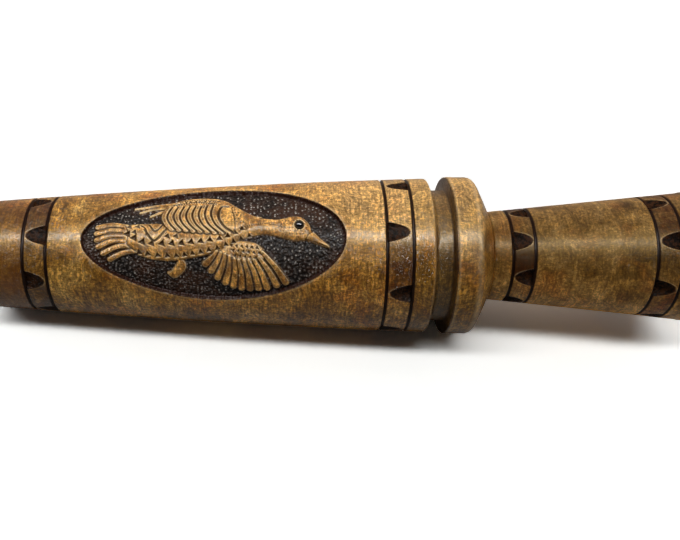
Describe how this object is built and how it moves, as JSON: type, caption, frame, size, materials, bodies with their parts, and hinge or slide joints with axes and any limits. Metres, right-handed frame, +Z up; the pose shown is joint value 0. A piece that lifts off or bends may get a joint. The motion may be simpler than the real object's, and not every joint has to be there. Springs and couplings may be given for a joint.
{
  "type": "duck call",
  "caption": "Turned wooden duck call with a carved duck panel and a lanyard groove; the insert pulls out and turns, and carries a reeded tone board.",
  "frame": {"origin": "centre of the exhaust end face, on the axis of the exhaust bore", "axes": "+X along the call's axis and out of the exhaust, so the mouth end is at -X; +Z up with the call lying on its side; the carved panel faces -Y and up"},
  "size_m": [0.1515, 0.0344, 0.0344],
  "materials": {
    "barrel_wood": "stained maple under semi-gloss lacquer",
    "insert_wood": "darker stained maple under semi-gloss lacquer",
    "eye_glass": "polished bead",
    "tone_board_plastic": "moulded, semi-gloss",
    "reed_film": "satin film",
    "cork": "raw cork",
    "seal_rubber": "matt black"
  },
  "bodies": {
    "barrel": {"barrel": "barrel_wood", "duck_eye": "eye_glass"},
    "seals": {"o_ring_front": "seal_rubber", "o_ring_rear": "seal_rubber"},
    "insert": {"insert": "insert_wood"},
    "tone_board": {"tone_board": "tone_board_plastic"},
    "cork_wedge": {"cork_wedge": "cork"},
    "reed_lower": {"reed_lower": "reed_film"},
    "reed_upper": {"reed_upper": "reed_film"}
  },
  "joints": [
    {"name": "insert_pull", "type": "slide", "parent": "barrel", "child": "seals", "axis": [1, 0, 0], "range_m": [0, 0.078]},
    {"name": "insert_turn", "type": "hinge", "parent": "seals", "child": "insert", "pos_m": [-0.046, 0, 0], "axis": [1, 0, 0], "continuous": true},
    {"name": "tone_board_pull", "type": "slide", "parent": "insert", "child": "tone_board", "axis": [-1, 0, 0], "range_m": [0, 0.022]},
    {"name": "wedge_pull", "type": "slide", "parent": "tone_board", "child": "cork_wedge", "axis": [-1, 0, 0], "range_m": [0, 0.0125]},
    {"name": "reed_lower_flex", "type": "hinge", "parent": "tone_board", "child": "reed_lower", "pos_m": [-0.083, 0, 0], "axis": [0, 1, 0], "range_deg": [-1.5, 0]},
    {"name": "reed_upper_flex", "type": "hinge", "parent": "tone_board", "child": "reed_upper", "pos_m": [-0.083, 0, 0], "axis": [0, 1, 0], "range_deg": [-1.5, 0]}
  ],
  "couplings": [
    {"joint": "reed_upper_flex", "follows": "reed_lower_flex", "ratio": 1}
  ]
}
